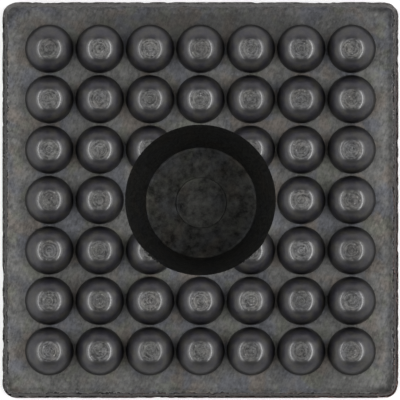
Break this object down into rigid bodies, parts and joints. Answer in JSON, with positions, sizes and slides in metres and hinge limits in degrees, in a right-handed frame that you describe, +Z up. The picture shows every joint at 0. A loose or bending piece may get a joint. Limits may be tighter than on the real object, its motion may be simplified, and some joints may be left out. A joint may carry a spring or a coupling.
{
  "type": "rubber lift pad",
  "caption": "Square moulded rubber pad with a grid of flat-topped domes round a tapered blind recess, used between a lift arm and its load.",
  "frame": {"origin": "centre of the flat underside", "axes": "+Z up through the domed top face, X and Y along the sides of the square"},
  "size_m": [0.12, 0.12, 0.0396],
  "materials": {
    "rubber": "moulded black rubber, dull with a grey surface bloom"
  },
  "bodies": {
    "root": {"lift_pad": "rubber"}
  },
  "joints": []
}
